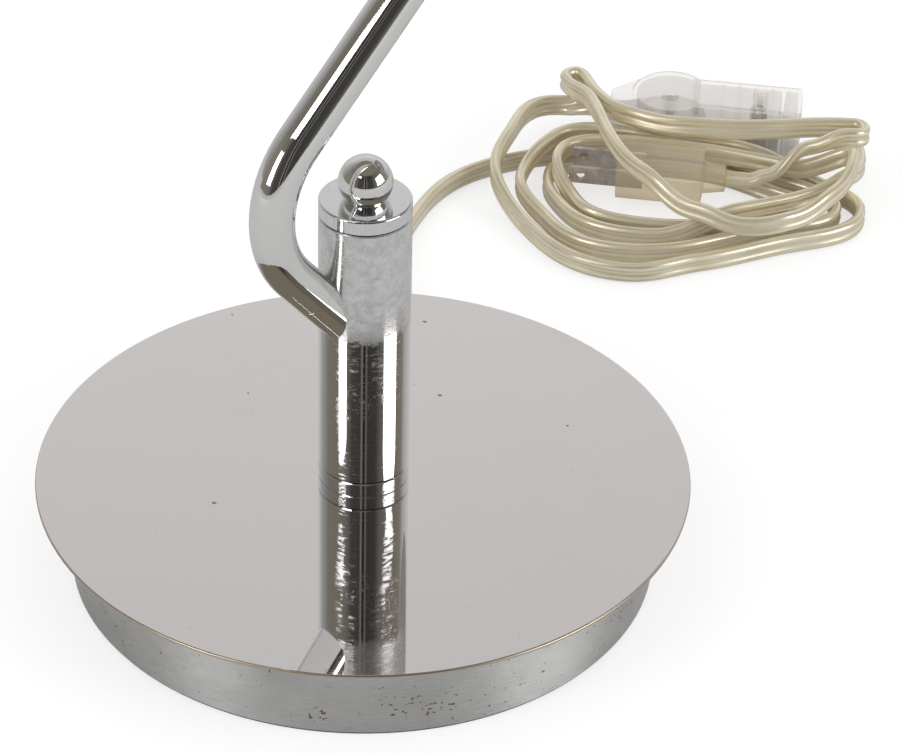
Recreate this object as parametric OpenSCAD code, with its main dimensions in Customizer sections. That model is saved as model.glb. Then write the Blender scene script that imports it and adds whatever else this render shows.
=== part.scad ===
// Table lamp: weighted round base, turning sleeve on a fixed post, swan-neck arm,
// tilting dome shade, and a flat twin flex with an in-line wheel switch and a plug.
// Millimetres. Z is up from the table, the arm lies in the XZ plane and the shade hangs at +X.

/* [Base] */
// radius of the round top plate
plate_radius = 101.6; // [95:0.2:110]
// thickness of the top plate
plate_thickness = 1.2; // [1:0.1:2]
// height of the base from the table to the plate's top
base_height = 30.8; // [28:0.2:36]
// radius of the skirt under the plate
skirt_radius = 91; // [86:0.5:93]
// wall of the skirt
skirt_wall = 1.6; // [1.2:0.1:2]
// thickness of the felt pad
felt_thickness = 1; // [0.8:0.1:1.5]
// thickness of the bottom cover
cover_thickness = 1.5; // [1.2:0.1:2]
// thickness of the cast weight
ballast_thickness = 16.5; // [14:0.5:16.5]
// height of the cord outlet above the table
outlet_height = 9; // [8.5:0.1:9.5]

/* [Post] */
// radius of foot ring, sleeve and cap
sleeve_radius = 14.1; // [13.5:0.1:15]
// wall of the turning sleeve
sleeve_wall = 2.1; // [1.8:0.1:2.4]
// length of the turning sleeve
sleeve_length = 90.05; // [85:0.05:100]
// height of the foot ring
foot_height = 4.85; // [4.5:0.05:6]
// height of the cap
cap_height = 4.85; // [4.5:0.05:6]
// radius of the fixed post inside the sleeve
post_radius = 6; // [5.8:0.1:6.4]
// radius of the ball finial
ball_radius = 8.3; // [7:0.1:9]
// height of the ball's centre above the cap
ball_rise = 5.6; // [5:0.1:6]
// swing of the arm to each side, in degrees
arm_swing = 150; // [120:5:150]

/* [Arm] */
// radius of the arm tube
tube_radius = 6.8; // [6.5:0.1:7.2]
// wall of the arm tube
tube_wall = 1.4; // [1.2:0.1:1.6]
// height of the arm's root above the base plate, on the post's axis
root_rise = 50; // [46:0.5:54]
// slope of the root above level, in degrees
root_slope = 50.5; // [47:0.5:53]
// straight length from the post's axis to the first bend
root_run = 42.6; // [40:0.1:46]
// radius of the first bend
first_bend = 34; // [32:0.5:40]
// slope of the run that crosses over the post, in degrees
lean_slope = 44.5; // [42:0.5:48]
// straight length of that run
lean_run = 80; // [76:1:90]
// radius of the bend into the upright run
second_bend = 60; // [50:1:70]
// straight length of the upright run
rise_run = 104; // [100:1:120]
// radius of the gooseneck bend
neck_bend = 58; // [56:0.5:66]
// straight length at the arm's end
drop_run = 12; // [11:0.5:16]

/* [Head] */
// radius of the dome shade
shade_radius = 72; // [68:0.5:74]
// wall of the shade
shade_wall = 1.2; // [1:0.1:1.5]
// radius of the lampholder's cover
holder_radius = 20; // [19.5:0.1:22]
// length of the lampholder's cover
holder_length = 33.5; // [32:0.5:38]
// radius of the bulb's globe
globe_radius = 22.5; // [20:0.5:24]

/* [Cord] */
// width of the flat twin flex
flex_width = 7.4; // [7.2:0.1:7.6]
// thickness of the flat twin flex
flex_thickness = 3.7; // [3.4:0.1:3.8]
// turn of the cord's layout about the post, in degrees
cord_turn = -48; // [-60:1:-40]

/* [Switch] */
// half height of the switch housing
switch_half = 11; // [10.9:0.1:11.2]
// wall of the switch housing
switch_wall = 1.6; // [1.4:0.1:1.8]
// radius of the round end over the wheel
switch_round = 14; // [13.8:0.1:14.4]
// half width of the housing's tail
switch_tail = 10; // [9.5:0.1:10.5]
// radius of the thumb wheel
wheel_radius = 13; // [12.6:0.1:13.2]
// thickness of the thumb wheel
wheel_thickness = 5; // [4:0.2:6]

/* [Plug] */
// width of the plug's body
plug_width = 22; // [20:0.5:23]
// height of the plug's body
plug_height = 15; // [14:0.2:15]
// length of the plug's body
plug_length = 30; // [27:0.5:32]
// length of the blades outside the body
blade_length = 17; // [15:0.5:18]

/* [Hidden] */
$fn = 72;
// running clearance on a radius
run_fit = 0.05;
// clearance on a radius of a fixed fit
set_fit = 0.03;
// free space between turning faces
turn_gap = 0.3;
// edge break on turned pieces
edge = 0.35;
plate_bottom = base_height - plate_thickness;
flange_bottom = plate_bottom - skirt_wall;
flange_bore = 60;
skirt_bore = skirt_radius - skirt_wall;
ballast_bottom = flange_bottom - ballast_thickness;
ballast_radius = skirt_bore - turn_gap;
clamp_web = 4;
recess_top = flange_bottom - clamp_web;
cover_top = felt_thickness + cover_thickness;
boss_circle = 58;
boss_radius = 6;
screw_radius = 2;
screw_head = 3.6;
screw_head_height = 0.9;
screw_bite = 8;
relief_radius = 5.4;
relief_length = 20;
relief_tip = 4.4;
relief_flange = 6.2;
relief_inset = 3;
lead_radius = 1.9;
lead_bend = 8;
spigot_radius = 5;
post_bore = 3.5;
washer_thickness = 1.6;
washer_radius = 11;
nut_height = 5;
nut_corner = 9.2;
recess_radius = washer_radius + 2;
spigot_end = recess_top - washer_thickness - nut_height - 1;
foot_top = base_height + foot_height;
sleeve_bottom = foot_top + turn_gap;
sleeve_top = sleeve_bottom + sleeve_length;
sleeve_bore = sleeve_radius - sleeve_wall;
cap_bottom = sleeve_top + turn_gap;
cap_top = cap_bottom + cap_height;
stud_radius = 3;
stud_depth = 10;
bush_length = 15;
stop_circle = (post_radius + sleeve_bore) / 2;
stop_radius = 1.5;
stop_height = 4;
stop_depth = 3.5;
stop_slack = 1.5;
stop_arc = arm_swing + stop_slack + asin((stop_radius + turn_gap) / stop_circle);
root_height = base_height + root_rise;
window_radius = 3.3;
arm_spigot = 4.5;
bend_step = 0.02;
bend_lap = 0.4;
spigot_start = sleeve_bore / cos(root_slope) - 1;
ferrule_end = (sleeve_radius + tube_radius * sin(root_slope)) / cos(root_slope) + 0.6;
ferrule_plug = 3.5;
lead_bore = 3;
tube_bore = tube_radius - tube_wall;
first_turn = 180 - root_slope - lean_slope;
first_x = -root_run * cos(root_slope);
first_z = root_height + root_run * sin(root_slope);
lean_x = first_x + first_bend * (sin(root_slope) - sin(lean_slope));
lean_z = first_z + first_bend * (cos(root_slope) + cos(lean_slope));
second_x = lean_x + lean_run * cos(lean_slope);
second_z = lean_z + lean_run * sin(lean_slope);
rise_x = second_x + second_bend * (1 - sin(lean_slope));
rise_z = second_z + second_bend * cos(lean_slope);
neck_z = rise_z + rise_run;
head_x = rise_x + 2 * neck_bend;
arm_end = neck_z - drop_run;
fork_flange = 3;
fork_drop = 9;
pivot_z = arm_end - fork_flange - fork_drop;
cheek_radius = 6.5;
cheek_thickness = 3;
tongue_thickness = 4.4;
fork_gap = tongue_thickness + 2 * turn_gap;
fork_half = fork_gap / 2 + cheek_thickness;
pivot_radius = 2;
pivot_head = 4.4;
pivot_head_height = 2.4;
pivot_nut_radius = 5.4;
pivot_nut_height = 4;
tongue_radius = 6.2;
collar_top = -8.5;
collar_bottom = -12.5;
nipple_radius = 4.9;
nipple_bottom = -22;
holder_wall = 1.2;
holder_shoulder = 6;
holder_nut_height = 4;
holder_nut_corner = 8;
holder_top = collar_bottom - holder_wall - holder_nut_height;
seat_top = collar_bottom - holder_length;
body_radius = 17.5;
body_drop = 10;
body_bottom = seat_top - body_drop;
shell_bore = 14.5;
shell_drop = 10;
shell_top = holder_top - shell_drop;
shell_radius = 14.4;
shell_wall = 0.65;
contact_height = 1;
seat_radius = 24;
dome_rise = sqrt(shade_radius * shade_radius - seat_radius * seat_radius);
rim_z = seat_top - dome_rise;
rim_bead = 1.4;
ring_height = 6;
ring_radius = 23;
cap_radius = 13.2;
bulb_tip = 4;
bulb_cap_top = shell_top - contact_height - 2;
bulb_neck_top = body_bottom;
neck_radius = 12.4;
globe_z = body_bottom - 8 - globe_radius;
layout_x = 76;
layout_y = 223;
lead_points = [
  [-76, -112, 9, 90, 0], [-88, -76, 4.2, 100, 60], [-91, -40, 3.8, 80, 90],
  [-66.6, 6.2, 3.7, 35, 90]
];
lamp_points = [
  [-66.6, 6.2, 3.7, 35, 90], [-20.3, 19.5, 3.8, 0, 90], [39.9, 10.5, 3.8, 337, 90],
  [56, -4, 3.8, 270, 90], [37, -20, 3.8, 200, 90], [-8, -42, 3.8, 190, 90],
  [-42, -30, 3.8, 125, 90], [-56, -8, 7.5, 92, 90], [-47, 15, 11.7, 58, 90],
  [-11.3, 21, 11.9, 0, 90], [18, 20, 11.6, 350, 90], [49, 12.5, 3.7, 325, 90],
  [64.5, -4.2, 3.7, 272, 90], [46, -24.5, 3.8, 205, 90], [12, -44, 3.8, 205, 90],
  [-14, -55, 3.8, 180, 90], [-49, -34, 3.8, 127, 90], [-65.7, -4.3, 10.3, 95, 90],
  [-62.8, 15.8, 12.4, 80, 90], [-49, 41.5, 10, 8, 60], [-36, 40, 11, 0, 0], [-24, 40, 11, 0, 0]
];
plug_points = [
  [33, 40, 11, 0, 0], [45, 40, 11, 0, 0], [62.2, 24.9, 8.8, 278, 90], [55.3, 2.9, 11.8, 238, 90],
  [23.9, -21.1, 11.6, 208, 90], [-8.3, -31.8, 3.8, 183, 90], [-38.8, -19.5, 3.8, 125, 90],
  [-47, 1.9, 3.8, 88, 90], [-20, 14.4, 3.8, 3, 90], [6.2, 14.6, 3.8, 354, 90],
  [35, 3.7, 3.8, 337, 90], [47, -6, 3.7, 270, 90], [29, -15.9, 3.7, 200, 90],
  [-7.6, -24.9, 3.8, 180, 90], [-34.4, -18, 6, 120, 90], [-44.1, 3.3, 11.6, 85, 90],
  [-16, 16.1, 11.9, 0, 90], [38.5, 10.5, 11.5, 348, 90], [60.2, 6.8, 20, 272, 90],
  [55, -13, 17, 240, 90], [42, -27.5, 14, 214, 90], [27, -33, 13, 188, 90],
  [7.9, -29.9, 15.6, 165, 90], [-12, -18.1, 21.9, 138, 90], [-24, -2, 22.7, 116, 90],
  [-35.3, 27.8, 20.6, 116, 90], [-46.9, 43.6, 18.6, 121, 90], [-44.8, 48.6, 18.6, 28, 90],
  [-39.9, 45.8, 18.6, 298, 90], [-31.5, 31.4, 18.9, 310, 90], [-17, 20.5, 20, 338, 75],
  [10, 17.6, 20.8, 2, 65], [58.5, 24.7, 22, 4, 75], [63.1, 20.4, 22.4, 270, 90],
  [58.8, 16.1, 23.2, 186, 90], [44.2, 10.1, 21, 207, 60], [29.9, 2.3, 12.7, 201, 15],
  [24, 1, 10.8, 180, 0], [16, 1, 10.6, 180, 0]
];
cord_handle = 0.39;
rings_per_step = 8;
switch_y = 40;
switch_tip = -30;
switch_end = 39;
tip_half = 5.6;
switch_bevel = 1.2;
wheel_x = -8;
nose_drop = switch_half / 2;
nose_x = wheel_x - switch_round * sin(30);
nose_half = switch_round * cos(30) - 0.2;
wheel_y = 37;
wheel_pin_radius = 1.5;
wheel_notches = 36;
slot_gap = 0.35;
entry_gap = 0.3;
tip_wall_x = lamp_points[len(lamp_points) - 1][0];
end_wall_x = plug_points[0][0];
wall_thickness = 1.4;
rib_pitch = 6;
rib_depth = 0.6;
switch_screw_x = 24;
switch_screw_y = 5.2;
switch_screw_radius = 1.2;
switch_screw_head = 2.3;
switch_boss = 2.8;
plug_y = plug_points[len(plug_points) - 1][1];
plug_z = plug_points[len(plug_points) - 1][2];
plug_neck_x = plug_points[len(plug_points) - 1][0];
plug_neck = 8;
plug_back = plug_neck_x - plug_neck;
plug_front = plug_back - plug_length;
plug_corner = 5;
blade_height = 6.35;
blade_thickness = 1.5;
blade_half_pitch = 6.35;
blade_root = 9;
blade_hole = 1.6;

// a turned solid with broken edges
module turned(r, h, low, high) {
  rotate_extrude()
    polygon([[0, 0], [r - low, 0], [r, low], [r, h - high], [r - high, h], [0, h]]);
}

// the frame of a bend's end, the bend turning toward side * X
module past_bend(radius, angle, side) {
  translate([side * radius, 0, 0])
    rotate([0, side * angle, 0])
      translate([-side * radius, 0, 0])
        children();
}

// a rod bent from the origin along Z toward side * X
module bent_rod(radius, angle, side, r) {
  rotate([0, 0, side > 0 ? 180 : 0])
    translate([-radius, 0, 0])
      rotate([90, 0, 0])
        rotate_extrude(angle = angle)
          translate([radius, 0])
            circle(r = r);
}

module root_frame() {
  translate([0, 0, root_height])
    rotate([0, root_slope - 90, 0])
      children();
}

module first_frame() {
  root_frame() translate([0, 0, root_run]) children();
}

module lean_frame() {
  first_frame() past_bend(first_bend, first_turn, 1) children();
}

module second_frame() {
  lean_frame() translate([0, 0, lean_run]) children();
}

module rise_frame() {
  second_frame() past_bend(second_bend, 90 - lean_slope, -1) children();
}

module neck_frame() {
  rise_frame() translate([0, 0, rise_run]) children();
}

// a straight of a rod, which runs into the bends at its ends by the lap
module straight_rod(r, from, to) {
  translate([0, 0, from]) cylinder(r = r - bend_step, h = to - from);
}

// a solid rod along the arm, from a start on the root to an end on the last straight
module arm_rod(r, start, last) {
  root_frame() straight_rod(r, start, root_run + bend_lap);
  first_frame() bent_rod(first_bend, first_turn, 1, r);
  lean_frame() straight_rod(r, -bend_lap, lean_run + bend_lap);
  second_frame() bent_rod(second_bend, 90 - lean_slope, -1, r);
  rise_frame() straight_rod(r, -bend_lap, rise_run + bend_lap);
  neck_frame() bent_rod(neck_bend, 180, 1, r);
  neck_frame() past_bend(neck_bend, 180, 1) straight_rod(r, -bend_lap, last);
}

module head_frame() {
  translate([head_x, 0, pivot_z]) children();
}

// a rod along Y through the pivot
module cross_rod(r, from, to) {
  translate([0, to, 0])
    rotate([90, 0, 0])
      cylinder(r = r, h = to - from);
}

// the frame of the outlet, with +Y pointing out of the base
module outlet_frame() {
  rotate([0, 0, cord_turn]) translate([0, 0, outlet_height]) children();
}

// the layout frame of the coiled cord
module cord_frame() {
  rotate([0, 0, cord_turn]) translate([layout_x, layout_y, 0]) children();
}

module felt_pad() {
  color("darkslategray") cylinder(r = skirt_radius - 0.7, h = felt_thickness);
}

module at_bosses() {
  for (turn = [0, 120, 240])
    rotate([0, 0, cord_turn + 30 + turn])
      translate([boss_circle, 0, 0])
        children();
}

module bottom_cover() {
  color("dimgray")
    difference() {
      translate([0, 0, felt_thickness]) cylinder(r = skirt_bore - 0.1, h = cover_thickness);
      at_bosses() {
        cylinder(r = screw_radius + 0.15, h = cover_top + 1);
        translate([0, 0, felt_thickness - 1])
          cylinder(r = screw_head + 0.15, h = 1 + screw_head_height);
      }
    }
}

module cover_screws() {
  color("silver")
    at_bosses() {
      translate([0, 0, felt_thickness]) cylinder(r = screw_head, h = screw_head_height);
      translate([0, 0, felt_thickness]) cylinder(r = screw_radius, h = cover_thickness + screw_bite);
    }
}

module ballast() {
  color("dimgray")
    difference() {
      union() {
        translate([0, 0, ballast_bottom]) cylinder(r = ballast_radius, h = ballast_thickness);
        at_bosses()
          translate([0, 0, cover_top])
            cylinder(r = boss_radius, h = ballast_bottom - cover_top + 1);
      }
      translate([0, 0, cover_top]) cylinder(r = spigot_radius + 0.15, h = base_height);
      translate([0, 0, cover_top]) cylinder(r = recess_radius, h = recess_top - cover_top);
      at_bosses() cylinder(r = screw_radius + set_fit, h = cover_top + screw_bite + 1);
      outlet_frame()
        translate([0, skirt_radius, 0])
          rotate([90, 0, 0])
            cylinder(r = relief_flange + turn_gap, h = skirt_wall + 2 * relief_inset);
    }
}

module skirt() {
  color("gainsboro")
    difference() {
      translate([0, 0, felt_thickness])
        cylinder(r = skirt_radius, h = plate_bottom - felt_thickness);
      cylinder(r = skirt_bore, h = flange_bottom);
      cylinder(r = flange_bore, h = base_height);
      outlet_frame()
        translate([0, skirt_radius + 5, 0])
          rotate([90, 0, 0])
            cylinder(r = relief_radius + 0.1, h = relief_length);
    }
}

module top_plate() {
  color("whitesmoke")
    difference() {
      translate([0, 0, plate_bottom])
        rotate_extrude() {
          square([plate_radius - plate_thickness / 2, plate_thickness]);
          translate([plate_radius - plate_thickness / 2, plate_thickness / 2])
            circle(r = plate_thickness / 2);
        }
      translate([0, 0, plate_bottom - 1]) cylinder(r = spigot_radius + 0.15, h = base_height);
    }
}

module base_washer() {
  color("silver")
    translate([0, 0, recess_top - washer_thickness])
      difference() {
        cylinder(r = washer_radius, h = washer_thickness);
        translate([0, 0, -1]) cylinder(r = spigot_radius + 0.15, h = washer_thickness + 2);
      }
}

module base_nut() {
  color("goldenrod")
    translate([0, 0, recess_top - washer_thickness - nut_height])
      difference() {
        cylinder(r = nut_corner, h = nut_height, $fn = 6);
        translate([0, 0, -1]) cylinder(r = spigot_radius + set_fit, h = nut_height + 2);
      }
}

module strain_relief() {
  color("gainsboro")
    outlet_frame()
      translate([0, skirt_bore - relief_inset, 0])
        rotate([-90, 0, 0]) {
          cylinder(r = relief_flange, h = 1.5);
          cylinder(r = relief_radius, h = relief_inset + skirt_wall + 1);
          translate([0, 0, relief_inset + skirt_wall + 1])
            cylinder(r1 = relief_radius, r2 = relief_tip, h = relief_length - 1);
        }
}

module inner_lead() {
  color("khaki")
    outlet_frame() {
      translate([0, skirt_bore - relief_inset, 0])
        rotate([90, 0, 0])
          cylinder(r = lead_radius, h = skirt_bore - relief_inset - lead_bend);
      translate([0, 0, lead_bend])
        rotate([180, 0, 90])
          bent_rod(lead_bend, 90, 1, lead_radius);
      translate([0, 0, lead_bend]) cylinder(r = lead_radius, h = root_height - outlet_height);
    }
}

module foot_ring() {
  color("whitesmoke")
    difference() {
      translate([0, 0, base_height]) turned(sleeve_radius, foot_height, edge, edge);
      translate([0, 0, base_height - 1]) cylinder(r = spigot_radius + set_fit, h = foot_height + 2);
      translate([stop_circle, 0, foot_top - stop_depth])
        cylinder(r = stop_radius + set_fit, h = stop_depth + 1);
    }
}

module post() {
  color("silver")
    difference() {
      union() {
        translate([0, 0, spigot_end]) cylinder(r = spigot_radius, h = foot_top - spigot_end + 1);
        translate([0, 0, foot_top]) cylinder(r = post_radius, h = cap_bottom - foot_top);
      }
      translate([0, 0, spigot_end - 1])
        cylinder(r = post_bore, h = cap_bottom - stud_depth - spigot_end - 2);
      cylinder(r = stud_radius, h = cap_bottom + 1);
      translate([0, 0, root_height + window_radius + 2])
        rotate([0, -90, 0])
          cylinder(r = window_radius, h = 2 * post_radius);
    }
}

module stop_pin() {
  color("silver")
    translate([stop_circle, 0, foot_top - stop_depth])
      cylinder(r = stop_radius, h = stop_depth + turn_gap + stop_height);
}

module cap() {
  color("whitesmoke")
    difference() {
      translate([0, 0, cap_bottom]) {
        turned(sleeve_radius, cap_height - 2 * edge, edge, 0);
        cylinder(r = sleeve_radius - 2 * edge, h = cap_height);
        translate([0, 0, cap_height - 2 * edge])
          rotate_extrude()
            translate([sleeve_radius - 2 * edge, 0])
              circle(r = 2 * edge);
      }
      translate([0, 0, cap_bottom - 1]) cylinder(r = stud_radius + 0.15, h = cap_height + 2);
    }
}

module finial() {
  color("whitesmoke") {
    difference() {
      translate([0, 0, cap_top + ball_rise]) sphere(r = ball_radius);
      translate([0, 0, cap_top - 2 * ball_radius]) cylinder(r = 2 * ball_radius, h = 2 * ball_radius);
    }
    translate([0, 0, cap_bottom - stud_depth])
      cylinder(r = stud_radius - set_fit, h = stud_depth + cap_height + 1);
  }
}

module sleeve() {
  color("whitesmoke")
    difference() {
      translate([0, 0, sleeve_bottom]) turned(sleeve_radius, sleeve_length, edge, edge);
      translate([0, 0, sleeve_bottom - 1]) cylinder(r = sleeve_bore, h = sleeve_length + 2);
      root_frame() cylinder(r = arm_spigot + set_fit, h = 2 * sleeve_radius);
    }
}

module bush() {
  difference() {
    cylinder(r = sleeve_bore - set_fit, h = bush_length);
    translate([0, 0, -1]) cylinder(r = post_radius + run_fit, h = bush_length + 2);
  }
}

module lower_bush() {
  color("burlywood")
    translate([0, 0, sleeve_bottom])
      difference() {
        bush();
        rotate([0, 0, -stop_arc])
          translate([0, 0, -1])
            rotate_extrude(angle = 2 * stop_arc)
              translate([stop_circle - stop_radius - turn_gap, 0])
                square([2 * (stop_radius + turn_gap), 1 + stop_height + turn_gap]);
      }
}

module upper_bush() {
  color("burlywood") translate([0, 0, sleeve_top - bush_length]) bush();
}

module arm_ferrule() {
  color("whitesmoke")
    difference() {
      union() {
        difference() {
          root_frame() cylinder(r = tube_radius, h = ferrule_end);
          cylinder(r = sleeve_radius, h = cap_top);
        }
        root_frame()
          translate([0, 0, spigot_start])
            cylinder(r = arm_spigot, h = ferrule_end - spigot_start);
        root_frame()
          translate([0, 0, ferrule_end - 1])
            cylinder(r = tube_bore - set_fit, h = ferrule_plug + 1);
      }
      root_frame() cylinder(r = lead_bore, h = root_run + first_bend);
    }
}

module arm_tube() {
  color("whitesmoke")
    difference() {
      arm_rod(tube_radius, ferrule_end, drop_run);
      arm_rod(tube_bore, ferrule_end - 1, drop_run + 1);
    }
}

module arm_lead() {
  color("khaki") arm_rod(lead_radius, spigot_start, 1);
}

module swivel_fork() {
  color("whitesmoke")
    head_frame()
      difference() {
        union() {
          translate([0, 0, fork_drop]) {
            cylinder(r = tube_radius, h = fork_flange);
            cylinder(r = tube_bore - set_fit, h = fork_flange + drop_run - 1);
          }
          difference() {
            union() {
              cross_rod(cheek_radius, -fork_half, fork_half);
              intersection() {
                translate([-cheek_radius, -fork_half, 0])
                  cube([2 * cheek_radius, 2 * fork_half, fork_drop + 1]);
                cylinder(r = tube_radius, h = fork_drop + 1);
              }
            }
            translate([-2 * cheek_radius, -fork_gap / 2, -2 * cheek_radius])
              cube([4 * cheek_radius, fork_gap, 2 * cheek_radius + fork_drop]);
          }
        }
        cross_rod(pivot_radius + set_fit, -2 * fork_half, 2 * fork_half);
      }
}

module pivot_screw() {
  color("silver")
    head_frame() {
      cross_rod(pivot_radius, -fork_half, fork_half + pivot_nut_height + 1);
      cross_rod(pivot_head, -fork_half - pivot_head_height, -fork_half);
    }
}

module pivot_nut() {
  color("whitesmoke")
    head_frame()
      difference() {
        cross_rod(pivot_nut_radius, fork_half, fork_half + pivot_nut_height);
        cross_rod(pivot_radius + set_fit, 0, fork_half + pivot_nut_height + 2);
        for (turn = [0:30:330])
          rotate([0, turn, 0])
            translate([pivot_nut_radius + 0.3, 0, 0])
              cross_rod(0.8, fork_half - 1, fork_half + pivot_nut_height + 1);
      }
}

module swivel_tongue() {
  color("whitesmoke")
    head_frame()
      difference() {
        union() {
          cross_rod(tongue_radius, -tongue_thickness / 2, tongue_thickness / 2);
          translate([-4, -tongue_thickness / 2, collar_bottom])
            cube([8, tongue_thickness, -collar_bottom]);
          translate([0, 0, collar_bottom])
            turned(tongue_radius, collar_top - collar_bottom, 0, edge);
          translate([0, 0, nipple_bottom])
            cylinder(r = nipple_radius, h = collar_bottom - nipple_bottom + 1);
        }
        cross_rod(pivot_radius + run_fit, -tongue_thickness, tongue_thickness);
      }
}

// the outside of the lampholder's cover, drawn in by a wall
module cover_form(inset, low) {
  r = holder_radius - inset;
  shoulder = holder_shoulder - inset;
  top = collar_bottom - inset;
  translate([0, 0, low]) cylinder(r = r, h = top - shoulder - low);
  translate([0, 0, low]) cylinder(r = r - shoulder, h = top - low);
  translate([0, 0, top - shoulder])
    rotate_extrude()
      translate([r - shoulder, 0])
        circle(r = shoulder);
}

module holder_cover() {
  color("whitesmoke")
    head_frame()
      difference() {
        cover_form(0, seat_top);
        cover_form(holder_wall, seat_top - 1);
        translate([0, 0, seat_top]) cylinder(r = nipple_radius + 0.1, h = -seat_top);
      }
}

module holder_nut() {
  color("goldenrod")
    head_frame()
      translate([0, 0, holder_top])
        difference() {
          cylinder(r = holder_nut_corner, h = holder_nut_height, $fn = 6);
          translate([0, 0, -1]) cylinder(r = nipple_radius + set_fit, h = holder_nut_height + 2);
        }
}

module holder_body() {
  color("black")
    head_frame()
      difference() {
        translate([0, 0, body_bottom]) turned(body_radius, holder_top - body_bottom, edge, edge);
        translate([0, 0, body_bottom - 1]) cylinder(r = shell_bore, h = shell_top - body_bottom + 1);
        translate([0, 0, nipple_bottom - 1]) cylinder(r = nipple_radius + 0.3, h = -nipple_bottom);
      }
}

module screw_shell() {
  color("goldenrod")
    head_frame()
      difference() {
        translate([0, 0, body_bottom + 2]) cylinder(r = shell_radius, h = shell_top - body_bottom - 4);
        translate([0, 0, body_bottom])
          cylinder(r = shell_radius - shell_wall, h = shell_top - body_bottom);
      }
}

module centre_contact() {
  color("goldenrod")
    head_frame()
      translate([0, 0, shell_top - contact_height])
        cylinder(r = bulb_tip + 1, h = contact_height);
}

module shade() {
  color("whitesmoke")
    head_frame()
      difference() {
        union() {
          difference() {
            translate([0, 0, rim_z]) sphere(r = shade_radius);
            translate([0, 0, rim_z - 2 * shade_radius])
              cylinder(r = 2 * shade_radius, h = 2 * shade_radius);
            translate([0, 0, seat_top]) cylinder(r = shade_radius, h = shade_radius);
            intersection() {
              translate([0, 0, rim_z]) sphere(r = shade_radius - shade_wall);
              translate([0, 0, rim_z - shade_radius])
                cylinder(r = shade_radius, h = shade_radius + dome_rise - shade_wall);
            }
          }
          translate([0, 0, rim_z])
            rotate_extrude()
              translate([shade_radius - rim_bead, 0])
                circle(r = rim_bead);
        }
        translate([0, 0, rim_z]) cylinder(r = body_radius + 0.3, h = -rim_z);
      }
}

module shade_ring() {
  color("black")
    head_frame()
      translate([0, 0, seat_top - shade_wall - ring_height])
        difference() {
          turned(ring_radius, ring_height, edge, edge);
          translate([0, 0, -1]) cylinder(r = body_radius + 0.1, h = ring_height + 2);
          for (turn = [0:30:330])
            rotate([0, 0, turn])
              translate([ring_radius + 0.6, 0, -1])
                cylinder(r = 1.6, h = ring_height + 2);
        }
}

module bulb_cap() {
  color("silver")
    head_frame() {
      translate([0, 0, bulb_neck_top]) cylinder(r = cap_radius, h = bulb_cap_top - bulb_neck_top);
      translate([0, 0, bulb_cap_top - 1])
        cylinder(r = bulb_tip, h = shell_top - contact_height - bulb_cap_top + 1);
    }
}

module bulb_glass() {
  color("white")
    head_frame() {
      translate([0, 0, globe_z]) sphere(r = globe_radius);
      translate([0, 0, globe_z]) cylinder(r = neck_radius, h = bulb_neck_top - globe_z);
    }
}

function along(angle) = [cos(angle), sin(angle), 0];

function eased(t) = (1 - cos(180 * t)) / 2;

// a point on the curve between two route points, each one [x, y, z, heading, roll]
function step_point(a, b, t) =
  let (
    from = [a[0], a[1], 0],
    to = [b[0], b[1], 0],
    reach = cord_handle * norm(to - from),
    s = 1 - t,
    flat = s * s * s * from + 3 * s * s * t * (from + reach * along(a[3]))
      + 3 * s * t * t * (to - reach * along(b[3])) + t * t * t * to
  )
  [flat[0], flat[1], a[2] + (b[2] - a[2]) * eased(t)];

function route(points, count) = concat(
  [
    for (i = [0:len(points) - 2])
      for (j = [0:count - 1])
        step_point(points[i], points[i + 1], j / count)
  ],
  [step_point(points[len(points) - 1], points[len(points) - 1], 0)]
);

// how far the flat cord is turned on its edge at each place of a route
function rolls(points, count) = concat(
  [
    for (i = [0:len(points) - 2])
      for (j = [0:count - 1])
        points[i][4] + (points[i + 1][4] - points[i][4]) * eased(j / count)
  ],
  [points[len(points) - 1][4]]
);

// the way the cord runs at each place of a route
function headings(path, points) = [
  for (i = [0:len(path) - 1])
    i == 0 ? along(points[0][3])
      : i == len(path) - 1 ? along(points[len(points) - 1][3])
      : (path[i + 1] - path[i - 1]) / norm(path[i + 1] - path[i - 1])
];

function flat_six(w, t) = [
  [w / 2, 0], [w / 2 - t / 2.4, t / 2], [t / 2.4 - w / 2, t / 2],
  [-w / 2, 0], [t / 2.4 - w / 2, -t / 2], [w / 2 - t / 2.4, -t / 2]
];

function flat_eight(w, t) = [
  [w / 2, t / 5], [w / 2 - t / 3, t / 2], [t / 3 - w / 2, t / 2], [-w / 2, t / 5],
  [-w / 2, -t / 5], [t / 3 - w / 2, -t / 2], [w / 2 - t / 3, -t / 2], [w / 2, -t / 5]
];

// the outline of the flat cord at one place, lying flat where the roll is 0
function cord_ring(place, way, roll, outline) =
  let (
    side = [-way[1], way[0], 0] / norm([way[0], way[1]]),
    up = cross(way, side),
    wide = cos(roll) * side + sin(roll) * up,
    thick = cos(roll) * up - sin(roll) * side
  )
  [for (corner = outline) place + corner[0] * wide + corner[1] * thick];

function cord_rings(points, count, outline) =
  let (
    path = route(points, count),
    ways = headings(path, points),
    turns = rolls(points, count)
  )
  [for (i = [0:len(path) - 1]) cord_ring(path[i], ways[i], turns[i], outline)];

module cord_tube(rings) {
  sides = len(rings[0]);
  last = (len(rings) - 1) * sides;
  walls = [
    for (i = [0:len(rings) - 2])
      for (j = [0:sides - 1])
        let (
          here = i * sides + j,
          beside = i * sides + (j + 1) % sides
        )
        each [[here, here + sides, beside + sides], [here, beside + sides, beside]]
  ];
  front = [for (j = [1:sides - 2]) [0, j, j + 1]];
  back = [for (j = [1:sides - 2]) [last, last + j + 1, last + j]];
  polyhedron(points = [for (ring = rings) each ring], faces = concat(walls, front, back));
}

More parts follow.
